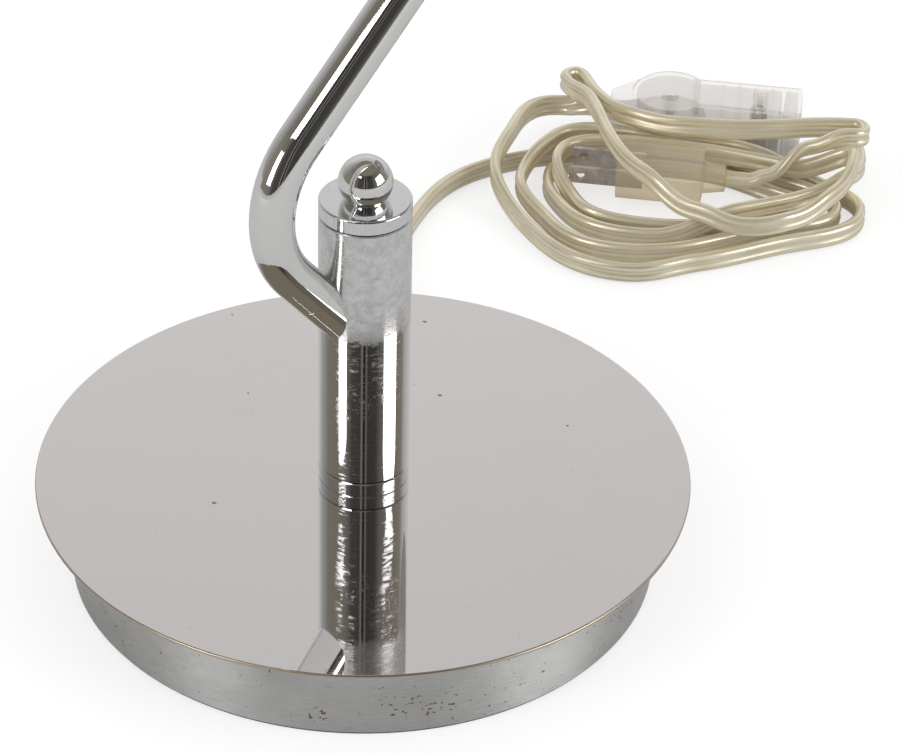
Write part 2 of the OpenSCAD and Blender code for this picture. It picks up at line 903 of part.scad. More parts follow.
// least space between strands, between ring corners more than 40 mm apart along the cord
function least_gap(rings, paces) = min([
  for (i = [0:len(rings) - 1])
    for (k = [i + 1:1:len(rings) - 1])
      if (paces[k] - paces[i] > 40 && norm(rings[i][0] - rings[k][0]) < 12)
        for (a = rings[i])
          for (b = rings[k])
            norm(a - b)
]);

function run_lengths(path, i = 0, sum = 0) =
  i == len(path) - 1 ? [sum]
    : concat([sum], run_lengths(path, i + 1, sum + norm(path[i + 1] - path[i])));

module report_gap(name, points) {
  fine = route(points, 2 * rings_per_step);
  rings = cord_rings(points, 2 * rings_per_step, flat_six(flex_width, flex_thickness));
  paces = run_lengths(fine);
  echo(str(name, ": length ", paces[len(paces) - 1], ", least gap to itself ", least_gap(rings, paces)));
}

module cord_lead() {
  color("wheat")
    cord_frame() cord_tube(cord_rings(lead_points, rings_per_step, flat_eight(flex_width, flex_thickness)));
}

module lamp_coil() {
  report_gap("lamp_coil", lamp_points);
  color("wheat")
    cord_frame() cord_tube(cord_rings(lamp_points, rings_per_step, flat_six(flex_width, flex_thickness)));
}

module plug_coil() {
  report_gap("plug_coil", plug_points);
  color("wheat")
    cord_frame() cord_tube(cord_rings(plug_points, rings_per_step, flat_six(flex_width, flex_thickness)));
}

// plan of the switch housing's nose about its own axis, drawn in by an inset
// end of the housing towards the lamp, which narrows and thins to the flex
module switch_nose() {
  hull() {
    translate([nose_x, 1.5 * switch_bevel - nose_half, 0])
      cube([wheel_x - nose_x, 2 * nose_half - 3 * switch_bevel, switch_half]);
    translate([nose_x, -nose_half, switch_bevel])
      cube([wheel_x - nose_x, 2 * nose_half, switch_half - switch_bevel]);
    translate([switch_tip, -tip_half, nose_drop])
      cube([switch_bevel, 2 * tip_half, switch_half - nose_drop]);
  }
}

module switch_back(inset) {
  translate([wheel_x, inset - switch_tail])
    square([switch_end - wheel_x - inset, 2 * (switch_tail - inset)]);
}

module switch_outline(inset) {
  translate([wheel_x, 0]) circle(r = switch_round - inset);
  switch_back(inset);
}

// half of the housing's outside, bevelled round its outer face
module switch_block() {
  translate([wheel_x, 0, 0]) {
    cylinder(r1 = switch_round - switch_bevel, r2 = switch_round, h = switch_bevel);
    translate([0, 0, switch_bevel]) cylinder(r = switch_round, h = switch_half - switch_bevel);
  }
  switch_nose();
  hull() {
    linear_extrude(height = switch_half) switch_back(switch_bevel);
    translate([0, 0, switch_bevel])
      linear_extrude(height = switch_half - switch_bevel)
        switch_back(0);
  }
}

module switch_frame() {
  cord_frame() translate([0, switch_y, 0]) children();
}

module switch_ribs(height) {
  for (i = [0:4])
    for (side = [-1, 1])
      translate([10 + i * rib_pitch, side * switch_tail, 2 * switch_bevel])
        cylinder(r = rib_depth, h = height - 2 * switch_bevel, $fn = 24);
}

module cord_entries() {
  for (ends = [[switch_tip - 1, tip_wall_x], [end_wall_x, switch_end + 1]])
    translate([ends[0], -flex_width / 2 - entry_gap, switch_half - flex_thickness / 2 - entry_gap])
      cube([ends[1] - ends[0], flex_width + 2 * entry_gap, flex_thickness + 2 * entry_gap]);
  translate([tip_wall_x - 1, 0, switch_half])
    rotate([0, 90, 0])
      cylinder(r = flex_thickness / 3, h = wheel_x - tip_wall_x);
}

module wheel_slot() {
  translate([wheel_x, wheel_y - switch_y, switch_half - wheel_thickness / 2 - slot_gap])
    cylinder(r = wheel_radius + slot_gap, h = wheel_thickness + 2 * slot_gap);
}

// one half of the switch housing, standing on its outer face
module switch_shell() {
  difference() {
    switch_block();
    translate([0, 0, switch_wall])
      linear_extrude(height = switch_half)
        switch_outline(switch_wall);
  }
  switch_ribs(switch_half);
  intersection() {
    switch_block();
    translate([end_wall_x - wall_thickness, -switch_round, 0])
      cube([wall_thickness, 2 * switch_round, switch_half]);
  }
  translate([wheel_x, wheel_y - switch_y, 0])
    cylinder(r = 2 * wheel_pin_radius, h = switch_half - wheel_thickness / 2 - turn_gap);
  for (side = [-1, 1])
    translate([switch_screw_x, side * switch_screw_y, 0]) cylinder(r = switch_boss, h = switch_half);
}

module at_switch_screws() {
  for (side = [-1, 1])
    translate([switch_screw_x, side * switch_screw_y, 0])
      children();
}

module pin_hole() {
  translate([wheel_x, wheel_y - switch_y, switch_wall])
    cylinder(r = wheel_pin_radius + set_fit, h = 2 * (switch_half - switch_wall));
}

module switch_base() {
  color("lavender")
    switch_frame()
      difference() {
        switch_shell();
        cord_entries();
        wheel_slot();
        pin_hole();
        at_switch_screws() {
          translate([0, 0, -1]) cylinder(r = switch_screw_radius + 0.1, h = switch_half + 2);
          translate([0, 0, -1]) cylinder(r = switch_screw_head + 0.2, h = 3);
        }
      }
}

module switch_cover() {
  color("lavender")
    switch_frame()
      difference() {
        translate([0, 0, 2 * switch_half]) mirror([0, 0, 1]) switch_shell();
        cord_entries();
        wheel_slot();
        pin_hole();
        at_switch_screws() cylinder(r = switch_screw_radius + set_fit, h = 2 * switch_half - switch_wall);
      }
}

module switch_wheel() {
  color("lavender")
    switch_frame()
      translate([wheel_x, wheel_y - switch_y, switch_half - wheel_thickness / 2])
        difference() {
          cylinder(r = wheel_radius, h = wheel_thickness);
          translate([0, 0, -1]) cylinder(r = wheel_pin_radius + run_fit, h = wheel_thickness + 2);
          for (i = [0:wheel_notches - 1])
            rotate([0, 0, i * 360 / wheel_notches])
              translate([wheel_radius + 0.2, 0, -1])
                cylinder(r = 0.6, h = wheel_thickness + 2, $fn = 24);
        }
}

module wheel_pin() {
  color("silver")
    switch_frame()
      translate([wheel_x, wheel_y - switch_y, switch_wall])
        cylinder(r = wheel_pin_radius, h = 2 * (switch_half - switch_wall));
}

module switch_screws() {
  color("silver")
    switch_frame()
      at_switch_screws() {
        translate([0, 0, 0.3]) cylinder(r = switch_screw_head, h = 1.7);
        translate([0, 0, 0.3]) cylinder(r = switch_screw_radius, h = 2 * switch_half - switch_wall - 2);
      }
}

module switch_contacts() {
  color("goldenrod")
    switch_frame()
      for (side = [-1, 1])
        translate([9, side * 1 - 0.4, switch_wall])
          cube([end_wall_x - wall_thickness - 9.1, 0.8, 6]);
}

module plug_frame() {
  cord_frame()
    translate([0, plug_y, plug_z])
      children();
}

// rounded plate across the plug's axis, from one place to another
module plug_block(from, to, width, height, corner) {
  translate([from, 0, 0])
    rotate([90, 0, 90])
      linear_extrude(height = to - from) {
        square([width - 2 * corner, height], center = true);
        square([width, height - 2 * corner], center = true);
        for (x = [-1, 1])
          for (y = [-1, 1])
            translate([x * (width / 2 - corner), y * (height / 2 - corner)])
              circle(r = corner);
      }
}

module blade_bars(start, fit) {
  for (side = [-1, 1])
    translate([
      start,
      side * blade_half_pitch - blade_thickness / 2 - fit,
      -blade_height / 2 - fit
    ])
      cube([plug_front + blade_root + fit - start, blade_thickness + 2 * fit, blade_height + 2 * fit]);
}

module plug_body() {
  color("moccasin")
    plug_frame()
      difference() {
        union() {
          plug_block(plug_front, plug_back, plug_width, plug_height, plug_corner);
          translate([plug_back, 0, 0])
            rotate([0, 90, 0])
              cylinder(r1 = plug_height / 2 - 1.5, r2 = flex_width / 2 + 1, h = plug_neck);
        }
        blade_bars(plug_front - 1, set_fit);
      }
}

module plug_blades() {
  color("silver")
    plug_frame()
      difference() {
        blade_bars(plug_front - blade_length, 0);
        translate([plug_front - blade_length + 4, plug_width, 0])
          rotate([90, 0, 0])
            cylinder(r = blade_hole, h = 2 * plug_width);
      }
}

felt_pad();
bottom_cover();
cover_screws();
ballast();
skirt();
top_plate();
base_washer();
base_nut();
strain_relief();
inner_lead();
foot_ring();
post();
stop_pin();
cap();
finial();
sleeve();
lower_bush();
upper_bush();
arm_ferrule();
arm_tube();
arm_lead();
swivel_fork();
pivot_screw();
pivot_nut();
swivel_tongue();
holder_cover();
holder_nut();
holder_body();
screw_shell();
centre_contact();
shade();
shade_ring();
bulb_cap();
bulb_glass();
cord_lead();
lamp_coil();
plug_coil();
switch_base();
switch_cover();
switch_wheel();
wheel_pin();
switch_screws();
switch_contacts();
plug_body();
plug_blades();
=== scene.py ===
import math
import bpy
from mathutils import Matrix, Vector


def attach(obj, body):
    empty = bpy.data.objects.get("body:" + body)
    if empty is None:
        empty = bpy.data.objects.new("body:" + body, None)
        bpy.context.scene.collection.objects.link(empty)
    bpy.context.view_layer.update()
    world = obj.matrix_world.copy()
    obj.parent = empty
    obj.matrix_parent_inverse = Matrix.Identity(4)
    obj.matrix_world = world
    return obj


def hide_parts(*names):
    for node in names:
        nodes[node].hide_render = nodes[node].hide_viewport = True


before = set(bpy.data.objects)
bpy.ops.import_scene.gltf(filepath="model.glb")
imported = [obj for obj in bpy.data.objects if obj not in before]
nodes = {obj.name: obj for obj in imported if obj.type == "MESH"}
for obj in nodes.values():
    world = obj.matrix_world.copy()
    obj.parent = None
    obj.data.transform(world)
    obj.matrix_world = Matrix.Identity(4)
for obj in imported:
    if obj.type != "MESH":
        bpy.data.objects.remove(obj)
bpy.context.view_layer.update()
scene = bpy.context.scene
scene.view_settings.view_transform = "Standard"
print("frame loaded,", len(nodes), "nodes")

camera = {
    "location": (-0.65643, -0.82312, 0.794348),
    "heading": -40.0,  # degrees about Z, 0 looks along +Y
    "down": 34.64,
    "roll": 1.247,
    "lens": 167.45,
    "sensor": 36,
    "clip": (0.05, 30),
}


def makeCamera():
    bpy.ops.object.camera_add(location=camera["location"])
    eye = bpy.context.object
    eye.name = "lampCamera"
    turn = (
        Matrix.Rotation(math.radians(camera["heading"]), 4, "Z")
        @ Matrix.Rotation(math.radians(90 - camera["down"]), 4, "X")
        @ Matrix.Rotation(math.radians(camera["roll"]), 4, "Z")
    )
    eye.matrix_world = Matrix.Translation(camera["location"]) @ turn
    eye.data.sensor_fit = "HORIZONTAL"
    eye.data.sensor_width = camera["sensor"]
    eye.data.lens = camera["lens"]
    eye.data.clip_start, eye.data.clip_end = camera["clip"]
    scene.camera = eye


makeCamera()
print("camera set")


class Sock:  # one socket of a node tree, with arithmetic that adds Math nodes
    def __init__(self, tree, plug=None):
        self.tree = tree
        self.plug = plug

    def node(self, kind, settings=None, sockets=None, out=0):
        made = self.tree.nodes.new("ShaderNode" + kind)
        for name, value in (settings or {}).items():
            if name == "stops":
                ramp = made.color_ramp
                while len(ramp.elements) < len(value):
                    ramp.elements.new(0.5)
                for stop, (position, tint) in zip(ramp.elements, value):
                    stop.position, stop.color = position, (*tint, 1)
            else:
                setattr(made, name, value)
        for name, value in (sockets or {}).items():
            if isinstance(value, Sock):
                self.tree.links.new(value.plug, made.inputs[name])
            else:
                made.inputs[name].default_value = value
        return Sock(self.tree, made.outputs[out] if made.outputs else None)

    def math(self, operation, *values):
        return self.node("Math", {"operation": operation}, dict(enumerate(values)))

    def __add__(self, other):
        return self.math("ADD", self, other)

    __radd__ = __add__

    def __sub__(self, other):
        return self.math("SUBTRACT", self, other)

    def __rsub__(self, other):
        return self.math("SUBTRACT", other, self)

    def __mul__(self, other):
        return self.math("MULTIPLY", self, other)

    __rmul__ = __mul__

    def __truediv__(self, other):
        return self.math("DIVIDE", self, other)

    def __pow__(self, other):
        return self.math("POWER", self, other)

    def __gt__(self, other):
        return self.math("GREATER_THAN", self, other)

    def __lt__(self, other):
        return self.math("LESS_THAN", self, other)

    def clip(self):
        return self.math("MINIMUM", self.math("MAXIMUM", self, 0.0), 1.0)

    def ease(self, low, high):  # 0 at low and 1 at high, smooth between
        return self.node(
            "MapRange",
            {"interpolation_type": "SMOOTHSTEP"},
            {"Value": self, "From Min": low, "From Max": high},
        )

    def line(self, middle, half):  # 1 where the value is at the middle, 0 from half away
        return 1 - (self.math("ABSOLUTE", self - middle) / half).clip()

    def mix(self, kind, share, first, second):  # a Mix node has its colours at 6, 7 and out at 2
        settings = {"data_type": "RGBA", "blend_type": kind}
        return self.node("Mix", settings, {0: share, 6: colour(first), 7: colour(second)}, out=2)

    def blend(self, first, second):  # a colour, self being the share of the second
        return self.mix("MIX", self, first, second)


def colour(value):
    return value if isinstance(value, Sock) else (*value, 1)


def newFinish(name, **fixed):  # a material with one Principled shader, its fixed values set
    finish = bpy.data.materials.new(name)
    finish.use_nodes = True
    tree = finish.node_tree
    shader = tree.nodes["Principled BSDF"]
    for key, value in fixed.items():
        shader.inputs[key.replace("_", " ")].default_value = value
    return finish, Sock(tree), shader


def feed(shader, name, sock):
    sock.tree.links.new(sock.plug, shader.inputs[name])


def bump(start, shader, height, strength, depth):
    feed(
        shader, "Normal",
        start.node("Bump", {}, {"Strength": strength, "Distance": depth, "Height": height}),
    )


def mixSurface(start, share, first, second):  # share is how much of the second shader shows
    both = start.node("MixShader", {}, {0: share, 1: first, 2: second})
    start.tree.links.new(both.plug, start.tree.nodes["Material Output"].inputs["Surface"])


def spot(start):  # where a point is on the piece
    return start.node("TexCoord", out="Object")


def split(start, vector, count=3):
    return [start.node("SeparateXYZ", {}, {0: vector}, out=k) for k in range(count)]


def noise(start, look, vector=None):  # look is a row of a finish's dictionary
    if vector is None:
        mapped = {
            "Vector": spot(start),
            "Scale": look.get("stretch", (1, 1, 1)),
            "Rotation": [math.radians(t) for t in look.get("turn", (0, 0, 0))],
            "Location": look.get("shift", (0, 0, 0)),
        }
        vector = start.node("Mapping", {}, mapped)
    values = {
        "Vector": vector,
        "Scale": look["scale"],
        "Detail": look.get("detail", 3.0),
        "Roughness": look.get("rough", 0.5),
        "Distortion": look.get("twist", 0.0),
    }
    made = start.node("TexNoise", {}, values)
    if "patch" in look:  # patches, from nothing at the first level to full at the second
        return made.ease(*look["patch"])
    if "line" in look:  # thin lines, at a level and with a half width
        return made.line(*look["line"])
    return made


def drum(start):  # degrees about the post's axis, and height
    x, y, z = split(start, spot(start))
    return start.math("ARCTAN2", y, x) * math.degrees(1), z


def ovals(angle, height, places, edge=(0.3, 1.3)):
    # 1 inside soft ovals, each given by degrees, half width, metres and half height
    near = 0.0
    for turn, wide, up, tall in places:
        reach = ((angle - turn) / wide) ** 2 + ((height - up) / tall) ** 2
        near = 1 - reach.ease(*edge) + near
    return near.clip()


polish = {
    # tint, and how smeared it is
    "polishedChrome": ((0.865, 0.86, 0.85), 0.3),
    "wornChrome": ((0.82, 0.84, 0.86), 1.0),
    "haze": {"scale": 55.0, "rough": 0.6, "patch": (0.52, 0.76)},
    "grain": {"scale": 1400.0, "detail": 2.0, "rough": 0.6, "patch": (0.4, 0.7)},
    "swirl": {"scale": 120.0, "detail": 1.0, "twist": 2.5, "line": (0.5, 0.014)},
    "wiped": {"scale": 44.0, "detail": 1.0, "patch": (0.57, 0.64)},
    "roughness": {"clean": 0.02, "haze": 0.05, "wiped": 0.22, "grain": 0.03},
    "dust": 0.5,  # how much the grain dulls the tint
    "dustTone": 0.86,
    "bumpStrength": 0.02,
    "bumpDepth": 0.0003,
}


def chromeFinish(name):  # mirror chrome
    tint, film = polish[name]
    finish, start, shader = newFinish(name, Metallic=1.0)
    haze, grain = noise(start, polish["haze"]), noise(start, polish["grain"])
    wiped = noise(start, polish["swirl"]) * noise(start, polish["wiped"])
    add = polish["roughness"]
    dulled = haze * add["haze"] + wiped * add["wiped"] + grain * add["grain"]
    feed(shader, "Roughness", add["clean"] + film * dulled)
    dusty = [v * polish["dustTone"] for v in tint]
    feed(shader, "Base Color", (grain * film * polish["dust"]).blend(tint, dusty))
    bump(start, shader, grain + haze, polish["bumpStrength"] * film, polish["bumpDepth"])
    return finish


sleeve = {
    "clean": (0.86, 0.86, 0.86),
    "frosted": (0.54, 0.54, 0.535),
    "satinPale": (0.95, 0.95, 0.945),
    "satinDark": (0.75, 0.75, 0.745),
    "satinRoughness": 0.55,
    "satinShare": (0.12, 0.24),  # in the frost: least, and what the mottle adds
    "frost": (0.0865, 0.091),  # heights above the floor at which it begins and is full, in metres
    "frostUneven": 0.016,
    "arc": 0.0141 / math.degrees(1),  # metres round the sleeve for each degree
    "drawnOut": 0.3,  # makes marks longer round the sleeve
    "ragged": {"scale": 260.0, "detail": 4.0, "rough": 0.65},
    "mottle": {"scale": 330.0, "detail": 6.0, "rough": 0.75, "patch": (0.25, 0.8)},
    "fringe": {"scale": 900.0, "rough": 0.65, "patch": (0.5, 0.68)},
    "worn": {"scale": 70.0, "detail": 2.0, "patch": (0.4, 0.56)},
    "swirl": {"scale": 190.0, "detail": 1.0, "twist": 3.0, "line": (0.5, 0.02)},
    "wiped": {"scale": 62.0, "detail": 1.0, "patch": (0.55, 0.62), "shift": (0.03, 0.01, 0.02)},
    "streaks": {"scale": 620.0, "detail": 4.0, "rough": 0.7, "patch": (0.42, 0.6)},
    "fringeShare": 0.6,
    "smearShare": 0.85,
    "roughness": {"clean": 0.02, "marks": 0.28, "frost": 0.1, "mottle": 0.12},
    # finger smears
    "smears": [
        (-141, 7, 0.079, 0.004), (-152, 9, 0.062, 0.005), (-113, 8, 0.08, 0.006),
        (-105, 8, 0.071, 0.007), (-96, 9, 0.059, 0.009), (-161, 7, 0.07, 0.02),
        (-158, 6, 0.052, 0.01), (-93, 7, 0.048, 0.012),
    ],
}


def sleeveFinish():  # chrome with a frosted upper part, wipe marks and fringed scratches
    finish, start, shader = newFinish("sleeveChrome", Metallic=1.0)
    angle, height = drum(start)
    wound = start.node(
        "CombineXYZ", {}, {0: angle * sleeve["arc"] * sleeve["drawnOut"], 1: height, 2: 0.0}
    )
    uneven = (noise(start, sleeve["ragged"]) - 0.5) * sleeve["frostUneven"]
    frost = (height + uneven).ease(*sleeve["frost"])
    mottle = noise(start, sleeve["mottle"])
    fringe = noise(start, sleeve["fringe"], wound) * noise(start, sleeve["worn"])
    wiped = noise(start, sleeve["swirl"]) * noise(start, sleeve["wiped"])
    smear = ovals(angle, height, sleeve["smears"]) * noise(start, sleeve["streaks"], wound)
    marks = (fringe * sleeve["fringeShare"] + wiped + smear * sleeve["smearShare"]).clip()
    add = sleeve["roughness"]
    dulled = marks * add["marks"] + frost * (add["frost"] + mottle * add["mottle"])
    feed(shader, "Roughness", add["clean"] + dulled)
    feed(shader, "Base Color", (frost * mottle).blend(sleeve["clean"], sleeve["frosted"]))
    satin = start.node(
        "BsdfPrincipled", {},
        {
            "Base Color": mottle.blend(sleeve["satinPale"], sleeve["satinDark"]),
            "Metallic": 1.0, "Roughness": sleeve["satinRoughness"],
        },
    )
    least, more = sleeve["satinShare"]
    share = frost * (least + mottle * more)
    mixSurface(start, share, Sock(start.tree, shader.outputs[0]), satin)
    return finish


plate = {
    "clean": (0.875, 0.855, 0.85),
    "smeared": (0.85, 0.83, 0.82),
    "speck": (0.33, 0.29, 0.22),
    "rim": (0.6, 0.51, 0.41),  # the cut edge, browned
    "rimFrom": 0.1013,
    "cloud": {"scale": 17.0, "detail": 4.0, "rough": 0.6, "patch": (0.5, 0.8)},
    "stroke": {"scale": 60.0, "detail": 1.0, "twist": 2.0, "line": (0.5, 0.012)},
    "streak": {"scale": 23.0, "detail": 1.0, "patch": (0.58, 0.68)},
    "fine": {"scale": 420.0, "detail": 2.0, "rough": 0.6, "patch": (0.72, 0.76)},
    "cells": 44.0,  # scale of the cells that may hold a speck
    "bareCells": 0.78,  # share of them that hold none
    "speckSize": 0.13,
    "jaggedScale": 900.0,  # roughens the outline of the specks
    "jagged": 0.0012,
    "cloudShare": 0.7,
    "streakShare": 0.8,
    "speckShare": 0.85,
    "fineShare": 0.25,
    "roughness": {"clean": 0.015, "cloud": 0.03, "streak": 0.06, "speck": 0.4, "rim": 0.3},
    "cloudRise": 0.3,
    "bump": (0.03, 0.0003),  # strength and depth
}


def plateFinish():  # chrome with faint clouds, wipe streaks and a few dark specks
    finish, start, shader = newFinish("plateChrome", Metallic=1.0)
    flat = spot(start)
    x, y = split(start, flat, 2)
    rim = (x * x + y * y) ** 0.5 > plate["rimFrom"]
    cloud = noise(start, plate["cloud"])
    streak = noise(start, plate["stroke"]) * noise(start, plate["streak"])
    fine = noise(start, plate["fine"])
    jagged = start.node("TexNoise", {}, {"Vector": flat, "Scale": plate["jaggedScale"]}, "Color")
    pushed = start.node("VectorMath", {"operation": "SCALE"}, {0: jagged, "Scale": plate["jagged"]})
    bent = start.node("VectorMath", {"operation": "ADD"}, {0: flat, 1: pushed})
    cells, level = {"Vector": bent, "Scale": plate["cells"]}, {"voronoi_dimensions": "2D"}
    drawn = start.node("SeparateColor", {}, {0: start.node("TexVoronoi", level, cells, "Color")})
    size = (drawn - plate["bareCells"]) * plate["speckSize"]
    speck = start.node("TexVoronoi", level, cells) < size
    smeared = (cloud * plate["cloudShare"] + streak * plate["streakShare"]).clip()
    dotted = (speck * plate["speckShare"] + fine * plate["fineShare"]).clip()
    tone = dotted.blend(smeared.blend(plate["clean"], plate["smeared"]), plate["speck"])
    feed(shader, "Base Color", rim.blend(tone, plate["rim"]))
    add = plate["roughness"]
    dulled = add["clean"] + cloud * add["cloud"] + streak * add["streak"]
    feed(shader, "Roughness", dulled + speck * add["speck"] + rim * add["rim"])
    bump(start, shader, cloud * plate["cloudRise"] - speck, *plate["bump"])
    return finish


skirt = {
    "dark": (0.54, 0.54, 0.535),
    "pale": (0.82, 0.82, 0.81),
    "rust": (0.19, 0.105, 0.045),
    "pit": (0.2, 0.17, 0.13),
    "spread": 0.85,  # highlights are drawn out, and turned upright
    "spreadTurn": 0.25,
    "arc": 0.091 / math.degrees(1),  # metres round the skirt for each degree
    "brushFine": 16.0,
    "brush": {"scale": 170.0, "detail": 5.0, "rough": 0.7},
    "blotch": {"scale": 34.0, "detail": 4.0, "rough": 0.6, "stretch": (1, 1, 1.6)},
    "grain": {"scale": 700.0, "rough": 0.65, "stretch": (1, 1, 2.5)},
    "pits": {"scale": 620.0, "detail": 1.0, "stretch": (1, 1, 1.5)},
    "drift": {"scale": 23.0, "detail": 2.0, "patch": (0.46, 0.6), "shift": (0.31, 0.12, 0)},
    "dots": {
        "scale": 650.0, "detail": 1.0, "patch": (0.7, 0.75),
        "stretch": (1, 1, 1.3), "shift": (0.2, 0.1, 0),
    },
    "rustMore": 0.11,  # how much easier it rusts inside the patches
    "rustFrom": (0.735, 0.765),
    "patches": [(-137, 2.5, 0.007, 0.004), (-117, 9, 0.010, 0.006), (-66, 9, 0.016, 0.009)],
    "front": (-128.6, 62),  # degrees, and half width, of the side facing the camera, made paler as a painted sheen
    "frontPaler": 0.5,
    "brushShare": 0.55,
    "blotchShare": 0.45,
    "toneFrom": (0.36, 0.62),
    "toneShare": 0.6,
    "dotShare": 0.8,
    "roughness": {"clean": 0.38, "grain": 0.16, "rust": 0.3, "dots": 0.2},
    "dulled": {"rust": 0.9, "dots": 0.5},  # how much less metallic
    "raised": {"brush": 0.5, "grain": 0.4},
    "bump": (0.12, 0.0003),  # strength and depth
}


def skirtFinish():  # brushed steel gone dull, with pits and rust near the foot
    finish, start, shader = newFinish(
        "brushedSkirt", Metallic=1.0, Anisotropic=skirt["spread"],
        Anisotropic_Rotation=skirt["spreadTurn"],
    )
    angle, height = drum(start)
    wound = start.node(
        "CombineXYZ", {}, {0: angle * skirt["arc"], 1: height * skirt["brushFine"], 2: 0.0}
    )
    brush = noise(start, skirt["brush"], wound)
    blotch, grain = noise(start, skirt["blotch"]), noise(start, skirt["grain"])
    near = ovals(angle, height, skirt["patches"]) * skirt["rustMore"]
    rust = (noise(start, skirt["pits"]) + near).ease(*skirt["rustFrom"])
    dots = noise(start, skirt["dots"]) * noise(start, skirt["drift"])
    # painted sheen: the side of the skirt facing the camera is made paler in its colour
    front = angle.line(*skirt["front"]) * skirt["frontPaler"]
    worn = (brush * skirt["brushShare"] + blotch * skirt["blotchShare"]).ease(*skirt["toneFrom"])
    tone = (worn * skirt["toneShare"] + front).blend(skirt["dark"], skirt["pale"])
    pitted = (dots * skirt["dotShare"]).blend(tone, skirt["pit"])
    feed(shader, "Base Color", rust.blend(pitted, skirt["rust"]))
    add, less, up = skirt["roughness"], skirt["dulled"], skirt["raised"]
    rough = add["clean"] + grain * add["grain"] + rust * add["rust"] + dots * add["dots"]
    feed(shader, "Roughness", rough)
    feed(shader, "Metallic", 1 - (rust * less["rust"] + dots * less["dots"]).clip())
    risen = brush * up["brush"] + grain * up["grain"] - dots - rust
    bump(start, shader, risen, *skirt["bump"])
    return finish


# plain finishes: two close tones, roughness, metallic, scale of the grain, strength of its dents
grains = {
    "zincSteel": ((0.58, 0.58, 0.57), (0.72, 0.72, 0.7), 0.36, 1.0, 520.0, 0.1),
    "castIron": ((0.07, 0.068, 0.065), (0.15, 0.145, 0.14), 0.75, 0.2, 420.0, 0.5),
    "brass": ((0.7, 0.52, 0.22), (0.83, 0.66, 0.33), 0.3, 1.0, 480.0, 0.1),
    "paleBrass": ((0.9, 0.84, 0.68), (0.95, 0.91, 0.79), 0.4, 0.15, 600.0, 0.1),
    "paleNylon": ((0.9, 0.89, 0.89), (0.95, 0.945, 0.94), 0.4, 0.0, 500.0, 0.03),
    "bladeNickel": ((0.5, 0.44, 0.4), (0.72, 0.66, 0.62), 0.36, 0.8, 330.0, 0.06),
    "bulbAlloy": ((0.72, 0.72, 0.72), (0.84, 0.84, 0.83), 0.32, 1.0, 500.0, 0.1),
    "nylon": ((0.76, 0.73, 0.64), (0.84, 0.81, 0.73), 0.5, 0.0, 380.0, 0.05),
    "blackMoulding": ((0.016, 0.016, 0.017), (0.03, 0.03, 0.031), 0.4, 0.0, 620.0, 0.1),
    "innerLead": ((0.7, 0.65, 0.5), (0.8, 0.76, 0.62), 0.4, 0.0, 300.0, 0.05),
    "opalGlass": ((0.9, 0.89, 0.86), (0.94, 0.93, 0.91), 0.16, 0.0, 240.0, 0.02),
}
grainLook = {
    "fineShare": 0.6,
    "broadShare": 0.4,
    "broadScale": 0.11,  # against the fine grain's
    "toneFrom": (0.36, 0.64),
    "rougher": 0.25,
    "bumpDepth": 0.0004,
}


def grainFinish(name):  # its grain changes the tone, the gloss and the surface
    first, second, rough, metal, scale, dents = grains[name]
    finish, start, shader = newFinish(name, Metallic=metal)
    grain = noise(start, {"scale": scale, "detail": 4.0, "rough": 0.6})
    broad = noise(start, {"scale": scale * grainLook["broadScale"], "detail": 2.0})
    tone = grain * grainLook["fineShare"] + broad * grainLook["broadShare"]
    feed(shader, "Base Color", tone.ease(*grainLook["toneFrom"]).blend(first, second))
    feed(shader, "Roughness", rough + (grain - 0.5) * grainLook["rougher"])
    bump(start, shader, grain, dents, grainLook["bumpDepth"])
    return finish


felt = {
    "dark": (0.025, 0.085, 0.08),
    "pale": (0.07, 0.17, 0.155),
    "bare": (0.14, 0.17, 0.15),
    "roughness": 0.95,
    "sheen": 0.3,
    "hair": {"scale": 2600.0, "rough": 0.7, "stretch": (1, 0.25, 1), "turn": (0, 0, 35)},
    "cross": {"scale": 2400.0, "rough": 0.7, "stretch": (0.25, 1, 1), "turn": (0, 0, 20)},
    "worn": {"scale": 40.0, "patch": (0.45, 0.7)},
    "wornShare": 0.35,
    "toneFrom": (0.35, 0.65),
    "bump": (0.5, 0.0004),  # strength and depth
}


def feltFinish():
    finish, start, shader = newFinish(
        "greenFelt", Roughness=felt["roughness"], Sheen_Weight=felt["sheen"]
    )
    tuft = noise(start, felt["hair"]) * 0.5 + noise(start, felt["cross"]) * 0.5
    tone = tuft.ease(*felt["toneFrom"]).blend(felt["dark"], felt["pale"])
    worn = noise(start, felt["worn"]) * felt["wornShare"]
    feed(shader, "Base Color", worn.blend(tone, felt["bare"]))
    bump(start, shader, tuft, *felt["bump"])
    return finish


shade = {
    "centre": (0.166312, 0.0, 0.224515),  # of the dome
    "wallMiddle": 0.0714,
    "chrome": (0.86, 0.86, 0.86),
    "enamelDark": (0.86, 0.855, 0.835),
    "enamelPale": (0.9, 0.9, 0.885),
    "peel": {"scale": 700.0, "detail": 2.0},
    "peelFrom": (0.3, 0.7),
    "haze": {"scale": 40.0, "rough": 0.6, "patch": (0.5, 0.75)},
    "roughness": {"enamel": 0.28, "chromeLess": 0.26, "haze": 0.03},
    "bump": (0.08, 0.0003),  # strength and depth
}


